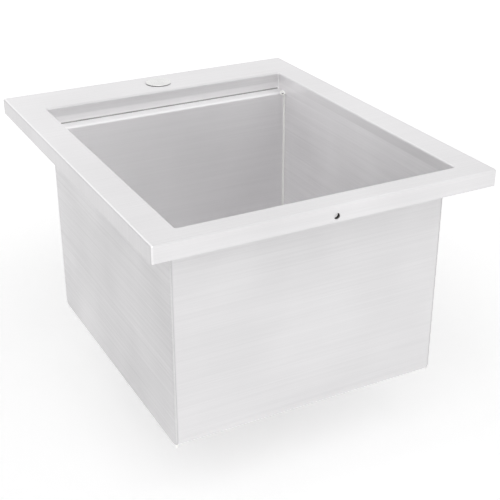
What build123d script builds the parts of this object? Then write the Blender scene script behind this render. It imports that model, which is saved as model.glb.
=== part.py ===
from build123d import *
import os

# Drop-in sink: a fabricated steel basin hung from a flat rim with turned-down edges, with a
# covered tap hole, four hold-down clips and a basket strainer. Millimetres, +Z up, +Y towards
# the tap hole. The origin is the middle of the rim on the worktop that its edge rests on.

os.makedirs("parts", exist_ok=True)

# Rim, from the flat top outwards and down
sheet = 1.2
rim_width = 457.2
rim_length = 547.0
rim_drop = 22.2
rim_bend = 3.0
side_border = 38.5
front_border = 26.5
back_border = 72.0
mouth_bend = 3.0
mouth_drop = 14.0
lip_trim = 2.4
tap_hole_r = 17.5
tap_setback = 38.0
front_hole_r = 4.0
front_hole_drop = 14.6

# Basin, with its bends measured on the inside of each bend
basin_depth = 304.8
ledge_drop = 25.4
ledge_width = 19.0
ledge_bend = 2.3
floor_bend = 8.8
corner_bend = 1.8
end_return = 2.0
floor_border = 12.0
floor_fall = 4.0

# Pressed seat for the strainer
drain_hole_r = 44.5
dish_depth = 3.0
dish_slope = 3.0
dish_bend = 1.5
dish_margin = 2.0
land_margin = 4.0

# Tap hole cover
cover_r = 19.05
cover_sheet = 0.8
cover_edge = 1.0
cover_rise = 2.6
cover_gap = 0.4
cover_stud_r = 2.5
cover_stud_end = -15.0
seal_width = 2.6
bar_length = 50.0
bar_width = 14.0
bar_thickness = 1.5

# Wing nut of the tap hole cover
wing_hub_r = 5.0
wing_hub_height = 4.5
wing_reach = 13.0
wing_drop = 9.0
wing_sheet = 2.2
wing_bend = 1.5

# Hold-downs, run up under the rim and turned in along the basin, as before fitting
clip_top = -4.5
clip_travel = 15.0
stud_r = 2.9
stud_offset = 9.7
stud_inset = 143.5
stud_spare = 1.5
clip_sheet = 2.0
clip_width = 14.0
clip_reach = 26.0
clip_rise = 8.0
clip_bend = 1.0
clip_teeth = 3
tooth_width = 4.0
tooth_angle = 100.0
washer_r = 6.0
washer_thickness = 1.2
hex_r = 5.0
hex_height = 5.0
hex_chamfer = 0.6

# Drain strainer
flange_r = 56.5
flange_thickness = 1.5
throat_r = 42.5
strainer_wall = 1.0
strainer_bend = 3.0
throat_depth = 36.0
strainer_depth = 50.0
outlet_r = 23.5
outlet_wall = 3.0
outlet_length = 16.0
cross_drop = 2.0
cross_thickness = 3.0
cross_arm = 3.0
cross_eye_r = 6.0
cross_hole_r = 3.2
gasket_r = 54.0
gasket_thickness = 3.0
ring_r = 53.0
ring_thickness = 1.0
locknut_r = 49.0
locknut_height = 10.0
locknut_lugs = 6
lug_reach = 7.0
lug_width = 9.0

# Tailpiece
tube_r = 19.05
tube_wall = 0.9
tube_length = 50.0
collar_r = 23.0
collar_thickness = 2.0
pipe_seal = 2.0
coupling_r = 28.5
coupling_grip = 12.0
coupling_lip = 1.8
coupling_clear = 1.2
coupling_lugs = 8
coupling_lug_width = 5.0
coupling_lug_reach = 2.5

# Basket
basket_r = 38.5
basket_low_r = 29.0
basket_wall = 0.8
basket_lip = 1.8
basket_bend = 5.0
basket_inset = 3.5
basket_slots = 16
slot_width = 2.6
slot_length = 15.0
hole_r = 2.0
inner_ring_r = 12.0
inner_holes = 5
outer_ring_r = 20.5
outer_slots = 8
outer_slot_length = 7.0
post_r = 2.5
post_collar_r = 4.5
post_collar = 1.2
spacer_r = 5.0
spacer_height = 4.0
stopper_r = 25.5
stopper_low_r = 23.5
stopper_thickness = 5.0
nut_r = 4.6
nut_height = 3.0
knob_r = 9.0
knob_height = 9.0
knob_neck_r = 4.5
knob_flare = 5.9
knob_edge = 0.9
knob_grip = 4.5
spring_half = 2.6
spring_width = 3.0
spring_sheet = 0.6
spring_length = 10.0
spring_shoulder = 4.0

# Clearances: round a pin or screw, of the stopper from its seat, and where faces part
pin_clear = 0.1
seat_clear = 0.3
part_line = 0.1

# Places that follow from the sizes
rim_top = rim_drop
rim_under = rim_top - sheet
wall_x = rim_width / 2 - side_border - mouth_bend
front_wall = front_border + mouth_bend - rim_length / 2
back_wall = rim_length / 2 - back_border - mouth_bend
mouth_width = 2 * wall_x
mouth_length = back_wall - front_wall
basin_y = (front_wall + back_wall) / 2
weld_z = rim_top - mouth_drop
ledge_z = rim_top - ledge_drop
floor_z = rim_top - basin_depth + sheet
floor_length = mouth_length - 2 * ledge_width
seam_x = wall_x - end_return
tap_y = rim_length / 2 - tap_setback
land_z = floor_z - floor_fall
seat_z = land_z - dish_depth
dish_r = flange_r + dish_margin
land_half = dish_r + dish_slope + land_margin
dish_side = (dish_slope**2 + dish_depth**2) ** 0.5

drain_axis = Axis((0, basin_y, 0), (0, 0, 1))
drain_section = Plane.XZ.offset(-basin_y)
tap_axis = Axis((0, tap_y, 0), (0, 0, 1))
tap_section = Plane.XZ.offset(-tap_y)


def drain_plane(height):
    """Level plane centred on the drain."""
    return Plane((0, basin_y, height))


def finish(builder, name):
    """Labels a finished piece and writes its file."""
    builder.part.label = name
    export_step(builder.part, f"parts/{name}.step")


# Deck rim: one sheet with its four edges turned down and its mouth drawn down to the basin
with BuildPart() as deck_rim:
    with BuildSketch():
        Rectangle(rim_width, rim_length)
        with Locations((0, basin_y)):
            Rectangle(mouth_width, mouth_length, mode=Mode.SUBTRACT)
    extrude(amount=rim_top)
    uprights = deck_rim.edges().filter_by(Axis.Z)
    fillet(uprights.filter_by(lambda edge: abs(edge.center().X) < wall_x + sheet), corner_bend)
    top = deck_rim.faces().sort_by(Axis.Z)[-1]
    fillet(top.inner_wires()[0].edges(), mouth_bend)
    top = deck_rim.faces().sort_by(Axis.Z)[-1]
    corners = deck_rim.edges().filter_by(Axis.Z)
    corners = corners.filter_by(lambda edge: abs(edge.center().X) > wall_x + mouth_bend)
    fillet(corners + top.outer_wire().edges(), rim_bend)
    offset(amount=-sheet, openings=deck_rim.faces().sort_by(Axis.Z)[0])
    with BuildSketch(Plane((0, basin_y, 0))):
        Rectangle(mouth_width + 2 * lip_trim, mouth_length + 2 * lip_trim)
    extrude(amount=weld_z, mode=Mode.SUBTRACT)
    with Locations((0, tap_y, rim_top)):
        Hole(tap_hole_r, depth=2 * sheet)
    with BuildSketch(Plane.XZ.offset(rim_length / 2)):
        with Locations((0, rim_top - front_hole_drop)):
            Circle(front_hole_r)
    extrude(amount=-2 * sheet, mode=Mode.SUBTRACT)
finish(deck_rim, "deck_rim")


def basin_block(out):
    """The basin as a filled block, `out` beyond the bowl side of the sheet."""
    nose_bend = ledge_bend + sheet - out
    wall_bend = ledge_bend + out
    low_front = front_wall + ledge_width - out
    low_back = back_wall - ledge_width + out
    dish_foot = dish_r + out * (dish_side - dish_slope) / dish_depth
    with BuildPart() as block:
        with BuildSketch(Plane.YZ):
            with BuildLine():
                FilletPolyline(
                    (front_wall - out, weld_z),
                    (front_wall - out, ledge_z - out),
                    (low_front, ledge_z - out),
                    (low_front, floor_z - out),
                    (low_back, floor_z - out),
                    (low_back, ledge_z - out),
                    (back_wall + out, ledge_z - out),
                    (back_wall + out, weld_z),
                    radius=[0, wall_bend, nose_bend, floor_bend + out,
                            floor_bend + out, nose_bend, wall_bend, 0],
                    close=True,
                )
            make_face()
        extrude(amount=wall_x + out, both=True)
        rims = block.faces().filter_by(Axis.X).edges()
        top_edges = block.faces().sort_by(Axis.Z)[-1].edges()
        fillet([edge for edge in rims if edge not in top_edges], corner_bend + out)
        # The floor falls to a level land round the drain
        with BuildSketch(drain_plane(floor_z - out)):
            Rectangle(2 * (wall_x - floor_border), floor_length - 2 * floor_border)
        with BuildSketch(drain_plane(land_z - out)):
            Rectangle(2 * land_half, 2 * land_half)
        loft()
        # Dish pressed into the land
        with BuildSketch(drain_section):
            with BuildLine():
                FilletPolyline(
                    (0, land_z + floor_fall / 2),
                    (0, seat_z - out),
                    (dish_foot, seat_z - out),
                    (dish_foot + dish_slope, land_z - out),
                    (land_half - dish_bend, land_z - out),
                    (land_half - dish_bend, land_z + floor_fall / 2),
                    radius=[0, 0, 0, dish_bend + sheet - out, 0, 0],
                    close=True,
                )
            make_face()
        revolve(axis=drain_axis)
    return block.part


basin_outside = basin_block(sheet)
basin_inside = basin_block(0)

# Basin wrapper: front wall, front ledge, floor, back ledge and back wall, bent from one sheet
with BuildPart() as bowl_wrapper:
    add(basin_outside)
    add(basin_inside, mode=Mode.SUBTRACT)
    split(bisect_by=Plane.YZ.offset(seam_x), keep=Keep.BOTTOM)
    split(bisect_by=Plane.YZ.offset(-seam_x), keep=Keep.TOP)
    with Locations((0, basin_y, seat_z)):
        Hole(drain_hole_r, depth=2 * sheet)
finish(bowl_wrapper, "bowl_wrapper")

# End panels, flanged all round and butt-welded to the wrapper
for name, seam, kept in (
    ("left_end_panel", -seam_x, Keep.BOTTOM),
    ("right_end_panel", seam_x, Keep.TOP),
):
    with BuildPart() as end_panel:
        add(basin_outside)
        add(basin_inside, mode=Mode.SUBTRACT)
        split(bisect_by=Plane.YZ.offset(seam), keep=kept)
    finish(end_panel, name)

# Tap hole cover: a pressed cap with a screw welded under its crown
cover_z = rim_top + cover_gap
crown_z = cover_z + cover_edge + cover_rise - cover_sheet
with BuildPart() as tap_hole_cover:
    with BuildSketch(tap_section):
        with BuildLine():
            TangentArc((0, crown_z), (cover_r, cover_z + cover_edge), tangent=(1, 0))
            Polyline(
                (cover_r, cover_z + cover_edge),
                (cover_r, cover_z),
                (cover_r - cover_sheet, cover_z),
                (cover_r - cover_sheet, cover_z + cover_edge),
            )
            TangentArc(
                (0, crown_z - cover_sheet),
                (cover_r - cover_sheet, cover_z + cover_edge),
                tangent=(1, 0),
            )
            Line((0, crown_z - cover_sheet), (0, crown_z))
        make_face()
    revolve(axis=tap_axis)
    with BuildSketch(Plane((0, tap_y, cover_stud_end))):
        Circle(cover_stud_r)
    extrude(amount=crown_z - cover_sheet / 2 - cover_stud_end)
finish(tap_hole_cover, "tap_hole_cover")

# Rubber ring that the cap presses on the deck
seal_r = cover_r - cover_sheet - pin_clear
with BuildPart() as cover_seal:
    with BuildSketch(Plane((0, tap_y, rim_top))):
        Circle(seal_r)
        Circle(seal_r - seal_width, mode=Mode.SUBTRACT)
    extrude(amount=cover_gap + cover_edge)
finish(cover_seal, "cover_seal")

# Bar that the cover's wing nut pulls up against the underside of the deck
bar_top = rim_under - part_line
with BuildPart() as cover_bar:
    with BuildSketch(Plane((0, tap_y, bar_top))):
        SlotOverall(bar_length, bar_width)
        Circle(cover_stud_r + pin_clear, mode=Mode.SUBTRACT)
    extrude(amount=-bar_thickness)
finish(cover_bar, "cover_bar")

# Wing nut under the bar
wing_z = bar_top - bar_thickness - part_line
with BuildPart() as cover_wing_nut:
    with BuildSketch(Plane((0, tap_y, wing_z))):
        Circle(wing_hub_r)
    extrude(amount=-wing_hub_height)
    with BuildSketch(tap_section):
        with BuildLine():
            FilletPolyline(
                (cover_stud_r + wing_bend, wing_z - wing_bend),
                (wing_hub_r + wing_bend, wing_z - wing_bend),
                (wing_reach, wing_z - wing_drop / 2),
                (wing_reach, wing_z - wing_drop),
                (wing_reach - wing_hub_r, wing_z - wing_drop),
                (cover_stud_r + wing_bend, wing_z - wing_hub_height),
                radius=[0, wing_bend, wing_bend, wing_bend, wing_bend, 0],
                close=True,
            )
        make_face()
        mirror(about=Plane.YZ)
    extrude(amount=wing_sheet / 2, both=True)
    with BuildSketch(Plane((0, tap_y, wing_z))):
        Circle(cover_stud_r + pin_clear)
    extrude(amount=-wing_drop, mode=Mode.SUBTRACT)
finish(cover_wing_nut, "cover_wing_nut")

# Hold-downs: studs welded under the rim, each with a toothed clip, a washer and a nut
stud_x = wall_x + sheet + stud_offset
stud_y = rim_length / 2 - stud_inset
clip_z = clip_top - clip_rise
washer_z = clip_z - part_line
hex_z = washer_z - washer_thickness - part_line
stud_end = hex_z - hex_height - clip_travel - stud_spare
with BuildPart() as hold_down_studs:
    with BuildSketch(Plane.XY.offset(rim_under)):
        with GridLocations(2 * stud_x, 2 * stud_y, 2, 2):
            Circle(stud_r)
    extrude(amount=stud_end - rim_under)
finish(hold_down_studs, "hold_down_studs")


def stud_plane(side, end, height):
    """Level plane on a stud, with X towards the other stud of its side."""
    return Plane((side * stud_x, end * stud_y, height), x_dir=(0, -end, 0))


stud_sides = [(side, end) for end in (-1, 1) for side in (-1, 1)]
for number, (side, end) in enumerate(stud_sides, start=1):
    base = stud_plane(side, end, clip_z)
    upright = Plane(base.origin, x_dir=base.x_dir, z_dir=-base.y_dir)
    toe = Plane(base.origin + base.x_dir * clip_reach, x_dir=base.y_dir, z_dir=base.x_dir)
    with BuildPart() as hold_down_clip:
        with BuildSketch(upright):
            with BuildLine():
                FilletPolyline(
                    (-clip_width / 2, 0),
                    (clip_reach, 0),
                    (clip_reach, clip_rise),
                    (clip_reach - clip_sheet, clip_rise),
                    (clip_reach - clip_sheet, clip_sheet),
                    (-clip_width / 2, clip_sheet),
                    radius=[0, clip_bend + clip_sheet, 0, 0, clip_bend, 0],
                    close=True,
                )
            make_face()
        extrude(amount=clip_width / 2, both=True)
        # Rounded heel and screw hole
        with BuildSketch(base):
            Circle(clip_width / 2)
            with Locations((clip_reach / 2, 0)):
                Rectangle(clip_reach, clip_width)
            Circle(stud_r + pin_clear, mode=Mode.SUBTRACT)
        extrude(amount=clip_rise, mode=Mode.INTERSECT)
        # Notches leave teeth that bite the underside of the worktop
        with BuildSketch(toe):
            with Locations((0, clip_rise)):
                with GridLocations(tooth_width, 0, clip_teeth, 1):
                    Triangle(a=tooth_width / 2, b=tooth_width / 2, C=tooth_angle, rotation=180)
        extrude(amount=-clip_sheet, mode=Mode.SUBTRACT)
    finish(hold_down_clip, f"hold_down_clip_{number}")

    with BuildPart() as clip_washer:
        with BuildSketch(stud_plane(side, end, washer_z)):
            Circle(washer_r)
            Circle(stud_r + pin_clear, mode=Mode.SUBTRACT)
        extrude(amount=-washer_thickness)
    finish(clip_washer, f"clip_washer_{number}")

    with BuildPart() as clip_nut:
        with BuildSketch(stud_plane(side, end, hex_z)):
            RegularPolygon(hex_r, 6, major_radius=False)
            Circle(stud_r + pin_clear, mode=Mode.SUBTRACT)
        extrude(amount=-hex_height)
        chamfer(clip_nut.faces().sort_by(Axis.Z)[0].outer_wire().edges(), hex_chamfer)
    finish(clip_nut, f"clip_nut_{number}")

# Strainer body: a flange on the dish, a threaded throat, a cone and an outlet with a cross
flange_z = seat_z + flange_thickness
throat_in = throat_r - strainer_wall
outlet_in = outlet_r - outlet_wall
cone_top = flange_z - throat_depth
cone_low = flange_z - strainer_depth
outlet_end = cone_low - outlet_length
cross_z = cone_low - cross_drop
with BuildPart() as strainer_body:
    with BuildSketch(drain_section):
        with BuildLine():
            FilletPolyline(
                (flange_r, seat_z),
                (flange_r, flange_z),
                (throat_in, flange_z),
                (throat_in, cone_top),
                (outlet_in, cone_low),
                (outlet_in, outlet_end),
                (outlet_r, outlet_end),
                (outlet_r, cone_low - strainer_wall),
                (throat_r, cone_top - strainer_wall),
                (throat_r, seat_z),
                radius=[0, 0, strainer_bend, 0, 0, 0, 0, 0, 0, 0],
                close=True,
            )
        make_face()
    revolve(axis=drain_axis)
    with BuildSketch(drain_plane(cross_z)):
        Rectangle(2 * outlet_r - outlet_wall, cross_arm)
        Rectangle(cross_arm, 2 * outlet_r - outlet_wall)
        Circle(cross_eye_r)
        Circle(cross_hole_r, mode=Mode.SUBTRACT)
    extrude(amount=-cross_thickness)
finish(strainer_body, "strainer_body")

# Rubber gasket and slip ring under the basin floor
gasket_z = seat_z - sheet
with BuildPart() as floor_gasket:
    with BuildSketch(drain_plane(gasket_z)):
        Circle(gasket_r)
        Circle(throat_r + pin_clear, mode=Mode.SUBTRACT)
    extrude(amount=-gasket_thickness)
finish(floor_gasket, "floor_gasket")

ring_z = gasket_z - gasket_thickness
with BuildPart() as slip_ring:
    with BuildSketch(drain_plane(ring_z)):
        Circle(ring_r)
        Circle(throat_r + pin_clear, mode=Mode.SUBTRACT)
    extrude(amount=-ring_thickness)
finish(slip_ring, "slip_ring")

# Lock nut with lugs for a spanner
locknut_z = ring_z - ring_thickness
with BuildPart() as strainer_locknut:
    with BuildSketch(drain_plane(locknut_z)):
        Circle(locknut_r)
        with PolarLocations(locknut_r, locknut_lugs):
            Rectangle(2 * lug_reach, lug_width)
        Circle(throat_r + pin_clear, mode=Mode.SUBTRACT)
    extrude(amount=-locknut_height)
finish(strainer_locknut, "strainer_locknut")

# Tailpiece: a collared tube hung from the outlet by a coupling nut over a sealing washer
with BuildPart() as tailpiece_washer:
    with BuildSketch(drain_plane(outlet_end)):
        Circle(collar_r)
        Circle(outlet_in, mode=Mode.SUBTRACT)
    extrude(amount=-pipe_seal)
finish(tailpiece_washer, "tailpiece_washer")

collar_z = outlet_end - pipe_seal
tube_end = collar_z - tube_length
with BuildPart() as tailpiece:
    with BuildSketch(drain_plane(collar_z)):
        Circle(collar_r)
        Circle(tube_r - tube_wall, mode=Mode.SUBTRACT)
    extrude(amount=-collar_thickness)
    with BuildSketch(drain_plane(collar_z)):
        Circle(tube_r)
        Circle(tube_r - tube_wall, mode=Mode.SUBTRACT)
    extrude(amount=-tube_length)
finish(tailpiece, "tailpiece")

nut_low = collar_z - collar_thickness - coupling_lip
with BuildPart() as coupling_nut:
    with BuildSketch(drain_section):
        with BuildLine():
            Polyline(
                (coupling_r, outlet_end + coupling_grip),
                (outlet_r + pin_clear, outlet_end + coupling_grip),
                (outlet_r + pin_clear, collar_z - collar_thickness),
                (tube_r + coupling_clear, collar_z - collar_thickness),
                (tube_r + coupling_clear, nut_low),
                (coupling_r, nut_low),
                close=True,
            )
        make_face()
    revolve(axis=drain_axis)
    with BuildSketch(drain_plane(nut_low)):
        with PolarLocations(coupling_r, coupling_lugs):
            Rectangle(2 * coupling_lug_reach, coupling_lug_width)
    extrude(amount=outlet_end + coupling_grip - nut_low)
finish(coupling_nut, "coupling_nut")

# Basket: a deep-drawn perforated cup on a post, with a rubber stopper below it
cone_slope = (cone_top - cone_low) / (throat_in - outlet_in)
stopper_low = cone_low + cone_slope * (stopper_low_r - outlet_in)
stopper_low += seat_clear * (1 + cone_slope**2) ** 0.5
stopper_z = stopper_low + stopper_thickness
basket_low = stopper_z + spacer_height
basket_z = flange_z - basket_inset
slot_mid = (basket_z + basket_low) / 2
slot_mid_r = (basket_r + basket_low_r) / 2
with BuildPart() as basket_cup:
    with BuildSketch(drain_section):
        with BuildLine():
            FilletPolyline(
                (post_r, basket_low),
                (basket_low_r, basket_low),
                (basket_r, basket_z - basket_wall),
                (basket_r + basket_lip, basket_z - basket_wall),
                (basket_r + basket_lip, basket_z),
                (basket_r - basket_wall, basket_z),
                (basket_low_r - basket_wall, basket_low + basket_wall),
                (post_r, basket_low + basket_wall),
                radius=[0, basket_bend, 0, 0, 0, 0, basket_bend - basket_wall, 0],
                close=True,
            )
        make_face()
    revolve(axis=drain_axis)
    # Round holes in the middle of the bottom, with radial slots outside them
    with BuildSketch(drain_plane(basket_low)):
        with PolarLocations(inner_ring_r, inner_holes):
            Circle(hole_r)
        with PolarLocations(outer_ring_r, outer_slots):
            Rectangle(outer_slot_length, slot_width)
    extrude(amount=basket_wall, mode=Mode.SUBTRACT)
    # Upright slots round the tapered side
    side_planes = []
    for place in PolarLocations(slot_mid_r, basket_slots):
        outward = Plane(place).x_dir
        centre = outward * slot_mid_r + Vector(0, basin_y, slot_mid)
        side_planes.append(Plane(centre, x_dir=(0, 0, 1), z_dir=outward))
    with BuildSketch(*side_planes):
        Rectangle(slot_length, slot_width)
    extrude(amount=basket_bend, both=True, mode=Mode.SUBTRACT)
finish(basket_cup, "basket_cup")

nut_z = stopper_low - nut_height
knob_z = basket_z - knob_height
with BuildPart() as basket_post:
    with BuildSketch(drain_plane(nut_z)):
        Circle(post_r)
    extrude(amount=knob_z + knob_grip - nut_z)
    with BuildSketch(drain_plane(basket_low + basket_wall)):
        Circle(post_collar_r)
    extrude(amount=post_collar)
finish(basket_post, "basket_post")

with BuildPart() as basket_knob:
    with BuildSketch(drain_section):
        with BuildLine():
            Polyline(
                (0, knob_z + knob_height),
                (0, knob_z + knob_grip),
                (post_r, knob_z + knob_grip),
                (post_r, knob_z),
                (knob_neck_r, knob_z),
            )
            TangentArc(
                (knob_neck_r, knob_z),
                (knob_r, knob_z + knob_flare),
                tangent=(0, 1),
            )
            Line((knob_r, knob_z + knob_flare), (knob_r, knob_z + knob_flare + knob_edge))
            TangentArc(
                (0, knob_z + knob_height),
                (knob_r, knob_z + knob_flare + knob_edge),
                tangent=(1, 0),
            )
        make_face()
    revolve(axis=drain_axis)
finish(basket_knob, "basket_knob")

with BuildPart() as stopper_spacer:
    with BuildSketch(drain_plane(stopper_z)):
        Circle(spacer_r)
        Circle(post_r, mode=Mode.SUBTRACT)
    extrude(amount=spacer_height)
finish(stopper_spacer, "stopper_spacer")

with BuildPart() as basket_stopper:
    with BuildSketch(drain_section):
        with BuildLine():
            Polyline(
                (post_r, stopper_low),
                (stopper_low_r, stopper_low),
                (stopper_r, stopper_low + stopper_thickness / 2),
                (stopper_r, stopper_z),
                (post_r, stopper_z),
                close=True,
            )
        make_face()
    revolve(axis=drain_axis)
finish(basket_stopper, "basket_stopper")

with BuildPart() as stopper_nut:
    with BuildSketch(drain_plane(stopper_low)):
        RegularPolygon(nut_r, 6)
        Circle(post_r, mode=Mode.SUBTRACT)
    extrude(amount=-nut_height)
finish(stopper_nut, "stopper_nut")

# Spring clip under the post that snaps through the eye of the cross
with BuildPart() as basket_spring:
    with BuildSketch(drain_section):
        with BuildLine():
            FilletPolyline(
                (-post_r, nut_z),
                (post_r, nut_z),
                (spring_half, nut_z - spring_shoulder),
                (spring_half / 2, nut_z - spring_length),
                (-spring_half / 2, nut_z - spring_length),
                (-spring_half, nut_z - spring_shoulder),
                radius=[0, 0, spring_sheet, spring_sheet, spring_sheet, spring_sheet],
                close=True,
            )
        make_face()
        offset(amount=-spring_sheet, mode=Mode.SUBTRACT)
    extrude(amount=spring_width / 2, both=True)
finish(basket_spring, "basket_spring")
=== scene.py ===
import math

import bmesh
import bpy
from mathutils import Euler, Matrix, Vector


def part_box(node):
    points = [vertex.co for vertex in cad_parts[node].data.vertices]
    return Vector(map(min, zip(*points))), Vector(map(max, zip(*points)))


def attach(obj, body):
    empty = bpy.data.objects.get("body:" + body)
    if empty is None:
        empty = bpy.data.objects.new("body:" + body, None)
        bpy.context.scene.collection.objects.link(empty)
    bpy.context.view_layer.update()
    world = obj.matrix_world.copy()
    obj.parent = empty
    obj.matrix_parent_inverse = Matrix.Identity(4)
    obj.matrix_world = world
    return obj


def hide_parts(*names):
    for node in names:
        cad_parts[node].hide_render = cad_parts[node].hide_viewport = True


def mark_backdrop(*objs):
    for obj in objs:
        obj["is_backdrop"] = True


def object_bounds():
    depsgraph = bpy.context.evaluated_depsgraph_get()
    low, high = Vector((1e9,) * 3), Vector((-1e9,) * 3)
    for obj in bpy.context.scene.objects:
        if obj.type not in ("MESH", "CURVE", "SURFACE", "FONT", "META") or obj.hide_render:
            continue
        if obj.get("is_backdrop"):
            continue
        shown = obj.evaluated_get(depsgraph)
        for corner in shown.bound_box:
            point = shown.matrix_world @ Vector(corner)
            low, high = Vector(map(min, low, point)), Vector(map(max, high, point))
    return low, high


# Drop-in sink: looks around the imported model. Metres, +Z up, +Y towards the tap hole.

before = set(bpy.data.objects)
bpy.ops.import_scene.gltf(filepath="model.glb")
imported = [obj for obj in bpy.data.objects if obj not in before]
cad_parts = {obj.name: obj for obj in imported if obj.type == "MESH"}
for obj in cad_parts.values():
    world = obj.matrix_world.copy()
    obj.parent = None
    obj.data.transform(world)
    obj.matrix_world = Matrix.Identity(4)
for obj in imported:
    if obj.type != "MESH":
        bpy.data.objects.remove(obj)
cad_low, cad_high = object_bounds()

MM = 0.001

# Sizes of the sheet metal and the studs
sheet = 1.2 * MM
ledge_width = 19 * MM
ledge_drop = 25.4 * MM
crest_r = 2.9 * MM

# Places taken from the parts of model.glb
deck_low, deck_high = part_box("deck_rim")
wrapper_low, wrapper_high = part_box("bowl_wrapper")
_, panel_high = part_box("right_end_panel")
cover_low, cover_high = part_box("tap_hole_cover")
strainer_low, strainer_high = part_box("strainer_body")
studs_low, studs_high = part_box("hold_down_studs")
locknut_low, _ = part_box("strainer_locknut")
_, coupling_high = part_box("coupling_nut")
seam_x = wrapper_high.x
weld_z = wrapper_high.z
wall_x = panel_high.x - sheet
front_wall = wrapper_low.y + sheet
back_wall = wrapper_high.y - sheet
ledge_z = deck_high.z - ledge_drop
deck_under = deck_high.z - sheet
drain_y = (strainer_low.y + strainer_high.y) / 2
tap_y = (cover_low.y + cover_high.y) / 2
# The back ledge (1) and the front ledge (-1), each with the place of its nose
ledges = ((1, back_wall - ledge_width), (-1, front_wall + ledge_width))

# Directions of the brushed grain, in which no scratch is quite straight
grain_x = (1.0, 0.02, 0.03)
grain_y = (0.02, 1.0, 0.03)
grain_z = (0.02, 0.03, 1.0)


# Materials
def linear(code):
    """sRGB hex colour as linear light."""
    parts = [int(code[start:start + 2], 16) / 255 for start in (1, 3, 5)]
    light = [part / 12.92 if part <= 0.04045 else ((part + 0.055) / 1.055) ** 2.4 for part in parts]
    return (*light, 1.0)


# A Mix node takes its factor on socket 0, and two numbers on 2 and 3, two vectors on 4 and 5 or
# two colours on 6 and 7. It gives them on outputs 0, 1 and 2.
def add(tree, kind, inputs, out=0, **settings):
    """Adds a node with its settings and links, and gives one of its outputs."""
    node = tree.nodes.new("ShaderNode" + kind)
    for name, value in settings.items():
        setattr(node, name, value)
    for name, value in inputs.items():
        if isinstance(value, bpy.types.NodeSocket):
            tree.links.new(value, node.inputs[name])
        else:
            node.inputs[name].default_value = value
    return node.outputs[out]


def new_finish(name, metallic=0.0, **constants):
    """A material with a Principled shader whose steady values are on its own sockets."""
    material = bpy.data.materials.new(name)
    material.use_nodes = True
    tree = material.node_tree
    shader = tree.nodes["Principled BSDF"]
    shader.inputs["Metallic"].default_value = metallic
    for socket, value in constants.items():
        shader.inputs[socket.replace("_", " ")].default_value = value
    return material, tree, shader


def wear(tree, vector, feature, detail=2.0):
    """Uneven marks about `feature` metres wide, from 0 to 1."""
    faintest, strongest = 0.3, 0.7
    marks = {"Vector": vector, "Scale": 1 / feature, "Detail": detail}
    marks = add(tree, "TexNoise", marks, "Fac")
    spread = {"Value": marks, "From Min": faintest, "From Max": strongest}
    return add(tree, "MapRange", spread, "Result")


def set_surface(tree, shader, marks, height, depth, dark, light, smooth, rough):
    """Colour and roughness that go with the same marks, over relief `depth` metres deep."""
    colour = {0: marks, 6: linear(dark), 7: linear(light)}
    tree.links.new(add(tree, "Mix", colour, 2, data_type="RGBA"), shader.inputs["Base Color"])
    spread = {"Value": marks, "To Min": rough, "To Max": smooth}
    tree.links.new(add(tree, "MapRange", spread, "Result"), shader.inputs["Roughness"])
    bumps = {"Height": height, "Distance": depth}
    tree.links.new(add(tree, "Bump", bumps, "Normal"), shader.inputs["Normal"])


def set_grain(tree, shader, along):
    """Draws each reflection out across the scratches, which run along `along`."""
    normal = add(tree, "NewGeometry", {}, "Normal")
    across = add(tree, "VectorMath", {0: normal, 1: along}, operation="CROSS_PRODUCT")
    tree.links.new(across, shader.inputs["Tangent"])


def turn_grain(tree, place, facing, along):
    """The deck's left and right edges are turned down across the grain, which follows them, while
    the drawn lip of the mouth is polished along its length. Gives the place and direction of the
    grain, and a value that is 1 on the turned edges only."""
    steep = 0.7
    lip_reach = 10 * MM
    side = add(tree, "SeparateXYZ", {0: facing})
    side = add(tree, "Math", {0: side}, operation="ABSOLUTE")
    side = add(tree, "Math", {0: side, 1: steep}, operation="GREATER_THAN")
    x, y, z = [add(tree, "SeparateXYZ", {0: place}, axis) for axis in range(3)]
    lip = add(tree, "Math", {0: x}, operation="ABSOLUTE")
    lip = add(tree, "Math", {0: lip, 1: wall_x + lip_reach}, operation="LESS_THAN")
    on_edge = add(tree, "CombineXYZ", {"X": z, "Y": y, "Z": x})
    on_lip = add(tree, "CombineXYZ", {"X": y, "Y": x, "Z": z})
    turned = add(tree, "Mix", {0: lip, 4: on_edge, 5: on_lip}, 1, data_type="VECTOR")
    vector = add(tree, "Mix", {0: side, 4: place, 5: turned}, 1, data_type="VECTOR")
    turned = add(tree, "Mix", {0: lip, 4: grain_z, 5: grain_y}, 1, data_type="VECTOR")
    along = add(tree, "Mix", {0: side, 4: along, 5: turned}, 1, data_type="VECTOR")
    edge = add(tree, "Math", {0: side, 1: lip}, operation="SUBTRACT")
    return vector, along, edge


def darken_edges(tree, edge, marks):
    """Painted shade: the turned edges are painted darker than the deck, as light runs off their
    scratches.
    """
    marks_share = 0.3
    deck_rise = 0.6
    deck = add(tree, "Math", {0: edge, 1: 0.5}, operation="LESS_THAN")
    deck = add(tree, "Math", {0: deck, 1: deck_rise}, operation="MULTIPLY")
    return add(tree, "Math", {0: marks, 1: marks_share, 2: deck}, operation="MULTIPLY_ADD")


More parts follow.
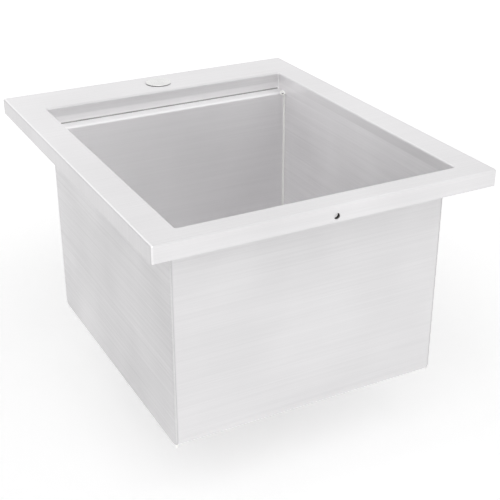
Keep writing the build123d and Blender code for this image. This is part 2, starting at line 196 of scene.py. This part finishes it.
def mark_basin(tree, place, facing, marks):
    """Dull ground seams, ledge noses painted bright as painted highlight, and a dull outside
    painted darker as painted shade, on the basin's sheets.
    """
    seam_half = 1.2 * MM
    seam_share = 0.35
    nose_half = 1.3 * MM
    level = 0.2
    outward = 0.05
    marks_share = 0.45
    inside_rise = 0.45
    x, height = [add(tree, "SeparateXYZ", {0: place}, axis) for axis in (0, 2)]
    # Welds at the end panels and under the lip are ground flush and look a little duller
    panel_seam = add(tree, "Math", {0: x}, operation="ABSOLUTE")
    panel_seam = add(tree, "Math", {0: panel_seam, 1: seam_x, 2: seam_half}, operation="COMPARE")
    lip_seam = add(tree, "Math", {0: height, 1: weld_z, 2: seam_half}, operation="COMPARE")
    seam = add(tree, "Math", {0: panel_seam, 1: lip_seam}, operation="MAXIMUM")
    ground = add(tree, "Math", {0: marks, 1: seam_share}, operation="MULTIPLY")
    marks = add(tree, "Mix", {0: seam, 2: marks, 3: ground})
    # The noses of the ledges are painted bright and smooth: painted highlight of their rounded bend
    nose = add(tree, "Math", {0: height, 1: ledge_z - nose_half, 2: nose_half}, operation="COMPARE")
    upward = add(tree, "SeparateXYZ", {0: facing}, 2)
    upward = add(tree, "Math", {0: upward, 1: level}, operation="GREATER_THAN")
    nose = add(tree, "Math", {0: nose, 1: upward}, operation="MULTIPLY")
    # The outside, which faces away from the basin's middle, is rougher, like the mill's finish, and
    # is painted darker than the inside: painted shade
    inside = add(tree, "VectorMath", {0: place, 1: facing}, "Value", operation="DOT_PRODUCT")
    inside = add(tree, "Math", {0: inside, 1: outward}, operation="LESS_THAN")
    inside = add(tree, "Math", {0: inside, 1: inside_rise}, operation="MULTIPLY")
    marks = add(tree, "Math", {0: marks, 1: marks_share, 2: inside}, operation="MULTIPLY_ADD")
    return add(tree, "Math", {0: marks, 1: nose}, operation="MAXIMUM")


def brushed_stainless(name, grain, dark, light, seams=False, turned_sides=False):
    """Type 304 sheet with a number 4 belt finish. Long fine scratches along the grain draw each
    reflection out across them and leave it sharp along them. The real scratches are about
    0.1 mm wide, and are drawn 0.8 mm and 2.5 mm wide so that they show."""
    scratch_length = 90 * MM
    fine_width = 0.8 * MM
    broad_width = 2.5 * MM
    broad_share = 0.6
    cloud_width = 140 * MM
    cloud_share = 0.5
    scratch_depth = 0.012 * MM
    material, tree, shader = new_finish(name, 1.0, Anisotropic=0.92)
    place = add(tree, "TexCoord", {}, "Object")
    facing = add(tree, "TexCoord", {}, "Normal")
    along = add(tree, "CombineXYZ", dict(zip("XYZ", grain)))
    vector = place
    if turned_sides:
        vector, along, edge = turn_grain(tree, place, facing, along)
    drawn_out = [fine_width / scratch_length if abs(part) > 0.5 else 1.0 for part in grain]
    lines = add(tree, "VectorMath", {0: vector, 1: drawn_out}, operation="MULTIPLY")
    fine = wear(tree, lines, fine_width, 1.0)
    broad = wear(tree, lines, broad_width)
    cloud = wear(tree, vector, cloud_width)
    lines = add(tree, "Mix", {0: broad_share, 2: fine, 3: broad})
    marks = add(tree, "Mix", {0: cloud_share, 2: lines, 3: cloud})
    # Painted shade on the deck's turned edges, which are painted darker than the deck
    if turned_sides:
        marks = darken_edges(tree, edge, marks)
    if seams:
        marks = mark_basin(tree, place, facing, marks)
    set_surface(tree, shader, marks, lines, scratch_depth, dark, light, smooth=0.42, rough=0.5)
    set_grain(tree, shader, along)
    return material


def turned_stainless(name, centre_y, feature, dark, light, smooth, rough, anisotropic):
    """Stainless spun or turned on a lathe: rings `feature` metres wide round an upright axis, which
    draw each reflection out towards the middle and the edge. Real rings are finer, about 0.1 mm."""
    cloud_width = 12 * MM
    cloud_share = 0.35
    ring_depth = 0.006 * MM
    material, tree, shader = new_finish(name, 1.0, Anisotropic=anisotropic)
    place = add(tree, "TexCoord", {}, "Object")
    spoke = add(tree, "VectorMath", {0: place, 1: (0.0, centre_y, 0.0)}, operation="SUBTRACT")
    spoke = add(tree, "VectorMath", {0: spoke, 1: (1.0, 1.0, 0.0)}, operation="MULTIPLY")
    radius = add(tree, "VectorMath", {0: spoke}, "Value", operation="LENGTH")
    ringed = add(tree, "CombineXYZ", {"X": radius, "Y": add(tree, "SeparateXYZ", {0: place}, 2)})
    rings = wear(tree, ringed, feature, 1.0)
    cloud = wear(tree, place, cloud_width)
    marks = add(tree, "Mix", {0: cloud_share, 2: rings, 3: cloud})
    set_surface(tree, shader, marks, rings, ring_depth, dark, light, smooth, rough)
    around = add(tree, "VectorMath", {0: spoke, 1: (0.0, 0.0, 1.0)}, operation="CROSS_PRODUCT")
    set_grain(tree, shader, around)
    return material


def grained(name, dark, light, smooth, rough, feature, depth, metallic=0.0):
    """A finish with an even grain `feature` metres wide and `depth` metres deep, under clouds that
    are 12 times as wide."""
    cloud_width = 12 * feature
    cloud_share = 0.55
    material, tree, shader = new_finish(name, metallic)
    place = add(tree, "TexCoord", {}, "Object")
    grain = wear(tree, place, feature, 3.0)
    cloud = wear(tree, place, cloud_width)
    marks = add(tree, "Mix", {0: cloud_share, 2: grain, 3: cloud})
    set_surface(tree, shader, marks, grain, depth, dark, light, smooth, rough)
    return material


deck_finish = brushed_stainless(
    "deck_brushed_304_stainless", grain_x, "#CFCECF", "#F2F1F2", turned_sides=True)
wrapper_finish = brushed_stainless(
    "basin_brushed_304_stainless", grain_x, "#E6E5E6", "#FCFBFC", seams=True)
# The end panels are the same sheet as the basin, with a darker low end of colour: painted shade
# that darkens the left outside wall
panel_finish = brushed_stainless(
    "end_panel_brushed_304_stainless", grain_y, "#D0CFD0", "#FDFCFD", seams=True)
# The cap was left as spun, with soft rings
cover_finish = turned_stainless(
    "cover_spun_304_stainless", tap_y, 0.5 * MM, "#DEDEDD", "#EEEEED",
    smooth=0.24, rough=0.34, anisotropic=0.6)
# The strainer was polished after turning, close to a mirror
strainer_finish = turned_stainless(
    "strainer_polished_304_stainless", drain_y, 0.7 * MM, "#D2D1CF", "#DFDEDC",
    smooth=0.12, rough=0.2, anisotropic=0.4)
# Ripples of a weld left as it cooled, between straw and grey
weld_finish = grained(
    "weld_bead_stainless", "#BDB7AE", "#D6D3CE",
    smooth=0.26, rough=0.42, feature=0.9 * MM, depth=0.03 * MM, metallic=1.0)
# Weld brushed back with a wire wheel: a close pebbly sparkle, lighter than the sheet; on the corner
# welds this lighter colour is also painted highlight. Its pits are about 0.5 mm wide, and are drawn
# 1.6 mm wide so that they show
brushed_weld_finish = grained(
    "wire_brushed_weld_and_corner_highlight", "#F6F6F4", "#FBFBF9",
    smooth=0.5, rough=0.62, feature=1.6 * MM, depth=0.5 * MM, metallic=1.0)
# Dull grey painted shade for the roots of the ledges, with a fine grain drawn 2 mm wide
root_finish = grained(
    "painted_root_shade_stainless", "#8A8A88", "#A4A4A2",
    smooth=0.4, rough=0.52, feature=2.0 * MM, depth=0.01 * MM, metallic=1.0)
# Oxide that no brush has reached, nearly black; inside the front hole the same finish is painted
# shade
scale_finish = grained(
    "dark_weld_scale_and_hole_shade", "#1C1B1A", "#34312E",
    smooth=0.5, rough=0.7, feature=1.1 * MM, depth=0.03 * MM)
# Rolled thread, plain and slightly greasy
thread_finish = grained(
    "rolled_thread_stainless", "#A9A9A8", "#BDBDBB",
    smooth=0.26, rough=0.38, feature=0.8 * MM, depth=0.01 * MM, metallic=1.0)
# Bright zinc has a bluish mirror under a fine haze
zinc_finish = grained(
    "bright_zinc_plate", "#B9BDC3", "#CDD1D6",
    smooth=0.2, rough=0.32, feature=1.5 * MM, depth=0.006 * MM, metallic=1.0)
# Pressed spring steel with a thinner, yellower zinc
clip_finish = grained(
    "zinc_plated_spring_steel", "#B4B3AA", "#C9C8C0",
    smooth=0.28, rough=0.42, feature=1.2 * MM, depth=0.012 * MM, metallic=1.0)
# Nickel over a die casting keeps a faint orange peel
cast_finish = grained(
    "nickel_plated_zinc_casting", "#B3B1AB", "#C6C4BE",
    smooth=0.26, rough=0.4, feature=2.2 * MM, depth=0.04 * MM, metallic=1.0)
# Chrome over brass tube, close to a mirror, with the slow waves of drawn tube
chrome_finish = grained(
    "chrome_plated_brass_tube", "#D9DADC", "#E0E1E3",
    smooth=0.06, rough=0.11, feature=9 * MM, depth=0.01 * MM, metallic=1.0)
# EPDM from a blasted mould: black, matte, a little grey where it was handled. The mould's grit,
# about 0.2 mm, is drawn 0.6 mm wide
rubber_finish = grained(
    "moulded_epdm_rubber", "#161617", "#262627",
    smooth=0.55, rough=0.72, feature=0.6 * MM, depth=0.03 * MM)
# Milky polyethylene with a soft sheen
poly_finish = grained(
    "white_polyethylene", "#E4E4DE", "#EEEEE9",
    smooth=0.36, rough=0.48, feature=2.5 * MM, depth=0.01 * MM)
# Vulcanised fibre: reddish brown, speckled, like stiff card
fibre_finish = grained(
    "pressed_red_fibre", "#7A432C", "#A86A49",
    smooth=0.6, rough=0.78, feature=0.8 * MM, depth=0.02 * MM)

finishes = {
    "deck_rim": deck_finish,
    "bowl_wrapper": wrapper_finish,
    "left_end_panel": panel_finish,
    "right_end_panel": panel_finish,
    "tap_hole_cover": cover_finish,
    "cover_seal": rubber_finish,
    "cover_bar": clip_finish,
    "cover_wing_nut": zinc_finish,
    "hold_down_studs": thread_finish,
    "strainer_body": strainer_finish,
    "floor_gasket": rubber_finish,
    "slip_ring": fibre_finish,
    "strainer_locknut": cast_finish,
    "tailpiece_washer": poly_finish,
    "tailpiece": chrome_finish,
    "coupling_nut": cast_finish,
    "basket_cup": strainer_finish,
    "basket_post": strainer_finish,
    "basket_knob": strainer_finish,
    "stopper_spacer": strainer_finish,
    "basket_stopper": rubber_finish,
    "stopper_nut": zinc_finish,
    "basket_spring": thread_finish,
}
for number in range(1, 5):
    finishes[f"hold_down_clip_{number}"] = clip_finish
    finishes[f"clip_washer_{number}"] = zinc_finish
    finishes[f"clip_nut_{number}"] = zinc_finish
for name, finish in finishes.items():
    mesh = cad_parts[name].data
    mesh.materials.clear()
    mesh.materials.append(finish)


# Pieces that the solids leave to the looks
def axis_at(spot, tilt=0):
    """An upright axis through `spot`, tilted about X by `tilt` degrees."""
    return Matrix.Translation(spot) @ Euler((math.radians(tilt), 0, 0)).to_matrix().to_4x4()


def skin(shape, rows):
    """Faces between each row of points and the next."""
    for here, there in zip(rows, rows[1:]):
        for step in range(len(here) - 1):
            shape.faces.new((here[step], here[step + 1], there[step + 1], there[step]))


def lathe(shape, profile, where, steps=32):
    """Turns a profile of (radius, height) pairs round the axis of `where`."""
    rings = []
    for radius, height in profile:
        turns = [math.tau * step / steps for step in range(steps if radius else 1)]
        spots = [(radius * math.cos(turn), radius * math.sin(turn), height) for turn in turns]
        rings.append([shape.verts.new(where @ Vector(spot)) for spot in spots])
    for low, high in zip(rings, rings[1:]):
        for step in range(steps):
            after = step + 1
            corners = [low[step % len(low)], low[after % len(low)],
                       high[after % len(high)], high[step % len(high)]]
            shape.faces.new(dict.fromkeys(corners))


def screw_thread(shape, where, root, crest, low, high, pitch, steps=18):
    """One helical ridge between two heights, which runs out over half a turn at each end. Its foot
    is a little below the root, so that no gap shows."""
    foot_half = 0.45
    crest_half = 0.12
    sunk = root - 0.1 * (crest - root)
    count = round((high - low) / pitch * steps)
    sections = []
    for step in range(count + 1):
        turn = math.tau * step / steps
        height = low + (high - low) * step / count
        full = min(1.0, 2 * step / steps, 2 * (count - step) / steps)
        tip = root + (crest - root) * full
        ridge = [(sunk, -foot_half), (tip, -crest_half), (tip, crest_half), (sunk, foot_half)]
        sections.append([
            shape.verts.new(where @ Vector((
                radius * math.cos(turn), radius * math.sin(turn), height + shift * pitch)))
            for radius, shift in ridge
        ])
    skin(shape, [section + section[:1] for section in sections])
    shape.faces.new(sections[0])
    shape.faces.new(sections[-1])


def place_piece(name, shape, finish, body="root", replaced=None):
    """Makes the finished piece, rides it on its body and hides the node it stands for."""
    sharp_from = math.radians(40)
    bmesh.ops.recalc_face_normals(shape, faces=shape.faces)
    mesh = bpy.data.meshes.new(name)
    shape.to_mesh(mesh)
    shape.free()
    for face in mesh.polygons:
        face.use_smooth = True
    mesh.set_sharp_from_angle(angle=sharp_from)
    mesh.materials.append(finish)
    item = bpy.data.objects.new(name, mesh)
    bpy.context.scene.collection.objects.link(item)
    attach(item, body)
    if replaced:
        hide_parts(replaced)
    return item


# Studs with a rolled thread, their tips chamfered, and the flash that stud welding leaves
studs = bmesh.new()
flash = bmesh.new()
stud_root = 2.42 * MM
stud_pitch = 1.0 * MM
stud_x = studs_high.x - crest_r
stud_y = studs_high.y - crest_r
stud_tip = studs_low.z
for side in (-1, 1):
    for end in (-1, 1):
        on_stud = axis_at((side * stud_x, end * stud_y, 0))
        lathe(studs, [
            (0, stud_tip),
            (stud_root - 0.5 * MM, stud_tip),
            (stud_root, stud_tip + 0.6 * MM),
            (stud_root, deck_under - 2.5 * MM),
            (crest_r, deck_under - 2.0 * MM),
            (crest_r, deck_under),
            (0, deck_under),
        ], on_stud, 24)
        screw_thread(studs, on_stud, stud_root, crest_r, stud_tip + 1.0 * MM,
                     deck_under - 3.0 * MM, stud_pitch)
        lathe(flash, [
            (crest_r - 0.1 * MM, deck_under - 1.1 * MM),
            (crest_r + 0.35 * MM, deck_under - 0.95 * MM),
            (crest_r + 0.9 * MM, deck_under - 0.5 * MM),
            (crest_r + 1.5 * MM, deck_under - 0.12 * MM),
            (crest_r + 1.7 * MM, deck_under + 0.05 * MM),
        ], on_stud, 24)
place_piece("threaded_studs", studs, thread_finish, replaced="hold_down_studs")
place_piece("stud_weld_flash", flash, weld_finish)

# Spun cap with a softly rolled edge, which stops above the deck and shows the rubber
cap = bmesh.new()
on_tap = axis_at((0, tap_y, 0))
cap_r = (cover_high.x - cover_low.x) / 2
cap_sheet = 0.5 * MM
cap_inner_r = cap_r - cap_sheet
cap_foot = deck_high.z + 0.9 * MM
cap_shoulder = cap_foot + 0.9 * MM
crown_rise = cover_high.z - cap_shoulder
crown_r = (cap_r**2 + crown_rise**2) / (2 * crown_rise)
crown_steps = 16
crown = []
for step in range(crown_steps + 1):
    radius = (cap_r - 0.35 * MM) * step / crown_steps
    crown.append((radius, cover_high.z - crown_r + math.sqrt(crown_r**2 - radius**2)))
rolled_edge = [
    (cap_r - 0.12 * MM, cap_shoulder + 0.06 * MM),
    (cap_r, cap_shoulder - 0.2 * MM),
    (cap_r, cap_foot + 0.1 * MM),
    (cap_r - 0.1 * MM, cap_foot),
    (cap_inner_r, cap_foot),
    (cap_inner_r, cap_shoulder - 0.2 * MM),
]
hollow = [
    (radius, height - cap_sheet) for radius, height in reversed(crown) if radius < cap_inner_r]
lathe(cap, crown + rolled_edge + hollow, on_tap, 96)
place_piece("spun_cover_cap", cap, cover_finish, replaced="tap_hole_cover")

# The cap's M5 screw
screw = bmesh.new()
screw_r = 2.5 * MM
screw_root = 2.12 * MM
screw_pitch = 0.8 * MM
screw_top = cover_high.z - cap_sheet - 0.05 * MM
lathe(screw, [
    (0, cover_low.z),
    (screw_root - 0.4 * MM, cover_low.z),
    (screw_root, cover_low.z + 0.5 * MM),
    (screw_root, screw_top - 1.5 * MM),
    (screw_r, screw_top - 1.1 * MM),
    (screw_r + 0.8 * MM, screw_top),
    (0, screw_top),
], on_tap, 24)
screw_thread(screw, on_tap, screw_root, screw_r, cover_low.z + 0.8 * MM, screw_top - 2 * MM,
             screw_pitch)
place_piece("cover_screw", screw, thread_finish, replaced="tap_hole_cover")

# Threads of the strainer below its lock nut and above its coupling nut
threads = bmesh.new()
on_drain = axis_at((0, drain_y, 0))
throat_r = 42.5 * MM
throat_crest_r = throat_r + 0.55 * MM
throat_pitch = 2.2 * MM
outlet_r = 23.5 * MM
outlet_crest_r = outlet_r + 0.45 * MM
outlet_pitch = 2.0 * MM
cone_top = strainer_high.z - 37 * MM
cone_low = strainer_high.z - 51 * MM
screw_thread(threads, on_drain, throat_r, throat_crest_r, cone_top + 1.2 * MM,
             locknut_low.z - 1.2 * MM, throat_pitch, 96)
screw_thread(threads, on_drain, outlet_r, outlet_crest_r, coupling_high.z + 0.9 * MM,
             cone_low - 1.0 * MM, outlet_pitch, 72)
place_piece("strainer_threads", threads, strainer_finish)

# Rippled bead where the drawn lip of the deck is welded to the basin
bead = bmesh.new()
bead_half = 1.3 * MM
bead_rise = 0.55 * MM
bead_sunk = 0.03 * MM
bead_steps = 6
ripple = 1.3 * MM
ripple_steps = 3
corner_r = 3 * MM
corner_steps = 8
out_x = wall_x + sheet
corner_spots = [(1, 1), (-1, 1), (-1, -1), (1, -1)]
middle_y = (front_wall + back_wall) / 2
half_y = (back_wall - front_wall) / 2 + sheet
track = []
for quarter, (side, end) in enumerate(corner_spots):
    centre = Vector((side * (out_x - corner_r), middle_y + end * (half_y - corner_r), weld_z))
    for step in range(corner_steps + 1):
        turn = math.radians(90 * quarter + 90 * step / corner_steps)
        outward = Vector((math.cos(turn), math.sin(turn), 0))
        track.append((centre + corner_r * outward, outward))
path = []
for (start, start_out), (stop, stop_out) in zip(track, track[1:] + track[:1]):
    pieces = max(1, round((stop - start).length / (ripple / ripple_steps)))
    for step in range(pieces):
        share = step / pieces
        path.append((start.lerp(stop, share), start_out.lerp(stop_out, share).normalized()))
sections = []
for number, (point, outward) in enumerate(path):
    # Each ripple swells over its steps and drops back where the next one starts
    wave = 0.78 + 0.22 * (number % ripple_steps) / (ripple_steps - 1)
    section = []
    for step in range(bead_steps + 1):
        turn = math.pi * step / bead_steps
        out = bead_rise * wave * math.sin(turn) - bead_sunk
        up = bead_half * (0.94 + 0.06 * wave) * math.cos(turn)
        section.append(bead.verts.new(point + outward * out + Vector((0, 0, up))))
    sections.append(section)
skin(bead, sections + sections[:1])
place_piece("lip_weld_bead", bead, weld_finish)

# Weld nuggets that close the corner at each end of the two ledges, with a dark crater in each
nuggets = bmesh.new()
craters = bmesh.new()
for end, nose_y in ledges:
    for side in (-1, 1):
        spot = (side * (seam_x - 1.6 * MM), nose_y + end * 0.3 * MM, ledge_z - 1.8 * MM)
        on_nugget = axis_at(spot, 45 * end)
        lathe(nuggets, [
            (0, -0.6 * MM),
            (1.7 * MM, -0.5 * MM),
            (2.1 * MM, 0.2 * MM),
            (2.7 * MM, 0.8 * MM),
            (3.3 * MM, 1.0 * MM),
            (4.0 * MM, 0.65 * MM),
            (4.6 * MM, -0.4 * MM),
        ], on_nugget, 24)
        lathe(craters, [
            (0, -0.3 * MM),
            (1.4 * MM, -0.24 * MM),
            (1.95 * MM, -0.02 * MM),
            (2.05 * MM, -0.3 * MM),
        ], on_nugget, 24)
place_piece("ledge_weld_nuggets", nuggets, brushed_weld_finish)
place_piece("weld_craters", craters, scale_finish)

# A grey strip in the root of each ledge is painted shade, where the bend lies in shadow. The strip
# lies just in front of the bend
roots = bmesh.new()
root_r = 2.3 * MM
strip_share = 0.98
strip_start = 15
strip_turn = 14
strip_steps = 4
for end, root_y in ((1, back_wall), (-1, front_wall)):
    rows = []
    for x in (-seam_x, seam_x):
        row = []
        for step in range(strip_steps + 1):
            turn = math.radians(strip_start + strip_turn * step)
            row.append(roots.verts.new((
                x, root_y - end * root_r * (1 - strip_share * math.sin(turn)),
                ledge_z + root_r * (1 - strip_share * math.cos(turn)))))
        rows.append(row)
    skin(roots, rows)
place_piece("ledge_root_shade_lines", roots, root_finish)

# Welds of the basin's upright corners, wire brushed, from the ledges down to the floor. Their light
# colour is also painted highlight along each corner
corners = bmesh.new()
weld_leg = 2.4 * MM
weld_bulge = 0.35 * MM
weld_steps = 6
weld_foot = wrapper_low.z + 6 * MM
weld_head = ledge_z - 5 * MM
for side in (-1, 1):
    for end, nose_y in ledges:
        rows = []
        for height in (weld_foot, weld_head):
            row = []
            for step in range(weld_steps + 1):
                share = step / weld_steps
                bulge = weld_bulge * math.sin(math.pi * share)
                row.append(corners.verts.new((
                    side * (wall_x - weld_leg * (1 - share) - bulge),
                    nose_y - end * (weld_leg * share + bulge), height)))
            rows.append(row)
        skin(corners, rows)
place_piece("corner_weld_and_highlight_lines", corners, brushed_weld_finish)

# Collar drawn in behind the small hole of the front edge, nearly black: painted shade inside the
# hole
collar = bmesh.new()
collar_r = 4.02 * MM
collar_wall = 0.8 * MM
collar_depth = 4.2 * MM
hole_drop = 14.6 * MM
on_hole = axis_at((0, deck_low.y + sheet, deck_high.z - hole_drop), -90)
lathe(collar, [
    (collar_r, -sheet + 0.15 * MM),
    (collar_r, collar_depth),
    (collar_r + collar_wall, collar_depth),
    (collar_r + collar_wall, 0.5 * MM),
    (collar_r + 1.4 * MM, 0),
], on_hole, 48)
place_piece("front_hole_shade_collar", collar, scale_finish)


# Floor, lamps and camera
def shown(tree):
    """1 for what the camera sees, in metal and glass too, and 0 for light on the object."""
    path = tree.nodes.new("ShaderNodeLightPath").outputs
    seen = {0: path["Is Camera Ray"], 1: path["Is Glossy Ray"]}
    seen = add(tree, "Math", seen, operation="MAXIMUM")
    return add(tree, "Math", {0: seen, 1: path["Is Transmission Ray"]}, operation="MAXIMUM")


def paper_floor(height):
    """Pale floor that shows white to the camera and keeps the shadow. It glows more away from the
    object, where the lamps don't reach."""
    half = 6.0
    near, near_glow = 0.4, 0.34
    far, far_glow = 2.6, 0.78
    mesh = bpy.data.meshes.new("studio_floor")
    mesh.from_pydata([(-half, -half, 0), (half, -half, 0), (half, half, 0), (-half, half, 0)], [],
                     [(0, 1, 2, 3)])
    paper = bpy.data.objects.new("studio_floor", mesh)
    paper.location = (0, 0, height)
    bpy.context.scene.collection.objects.link(paper)
    material, tree, shader = new_finish("white_paper_floor", Roughness=0.9)
    shader.inputs["Base Color"].default_value = linear("#F4F4F4")
    shader.inputs["Emission Color"].default_value = linear("#FFFFFF")
    place = add(tree, "TexCoord", {}, "Object")
    away = add(tree, "VectorMath", {0: place}, "Value", operation="LENGTH")
    glow = {"Value": away, "From Min": near, "From Max": far}
    glow.update({"To Min": near_glow, "To Max": far_glow})
    glow = {0: shown(tree), 1: add(tree, "MapRange", glow, "Result")}
    glow = add(tree, "Math", glow, operation="MULTIPLY")
    tree.links.new(glow, shader.inputs["Emission Strength"])
    mesh.materials.append(material)
    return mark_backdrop(paper)


def softbox(name, place, aim, width, height, watts):
    """Large soft lamp aimed at a point."""
    lamp = bpy.data.lights.new(name, "AREA")
    lamp.shape = "RECTANGLE"
    lamp.size = width
    lamp.size_y = height
    lamp.energy = watts
    stand = bpy.data.objects.new(name, lamp)
    stand.location = place
    direction = Vector(aim) - Vector(place)
    stand.rotation_euler = direction.to_track_quat("-Z", "Y").to_euler()
    stand.visible_camera = False
    bpy.context.scene.collection.objects.link(stand)
    return stand


floor_gap = 0.5 * MM
paper_floor(cad_low.z - floor_gap)
softbox("front_softbox", (1.1, -1.2, 1.4), (0.1, 0, 0), width=1.2, height=0.8, watts=1.2)
softbox("back_softbox", (-0.62, 1.2, 1.73), (0, 0, 0), width=1.6, height=0.9, watts=1.2)
softbox("key_softbox", (-1.2, -2.4, 2.5), (0, 0, -0.1), width=4.0, height=2.6, watts=49)

# The surroundings look fully white, and light the object with half of that
light_strength = 0.5
seen_strength = 1.0
world = bpy.data.worlds.new("white_studio")
world.use_nodes = True
tree = world.node_tree
strength = {"Value": shown(tree), "To Min": light_strength, "To Max": seen_strength}
strength = add(tree, "MapRange", strength, "Result")
tree.links.new(strength, tree.nodes["Background"].inputs["Strength"])
tree.nodes["Background"].inputs["Color"].default_value = linear("#FFFFFF")
bpy.context.scene.world = world

# Camera fitted to the straight edges of the photograph, turned in degrees
camera_place = (-0.593, -1.1892, 0.5061)
camera_tilt = 63.52
camera_turn = -27.73
camera_data = bpy.data.cameras.new("photo_camera")
camera_data.lens = 75.9
camera_data.sensor_width = 36.0
camera = bpy.data.objects.new("photo_camera", camera_data)
camera.location = camera_place
camera.rotation_euler = Euler((math.radians(camera_tilt), 0, math.radians(camera_turn)))
bpy.context.scene.collection.objects.link(camera)
bpy.context.scene.camera = camera
bpy.context.scene.view_settings.view_transform = "Standard"
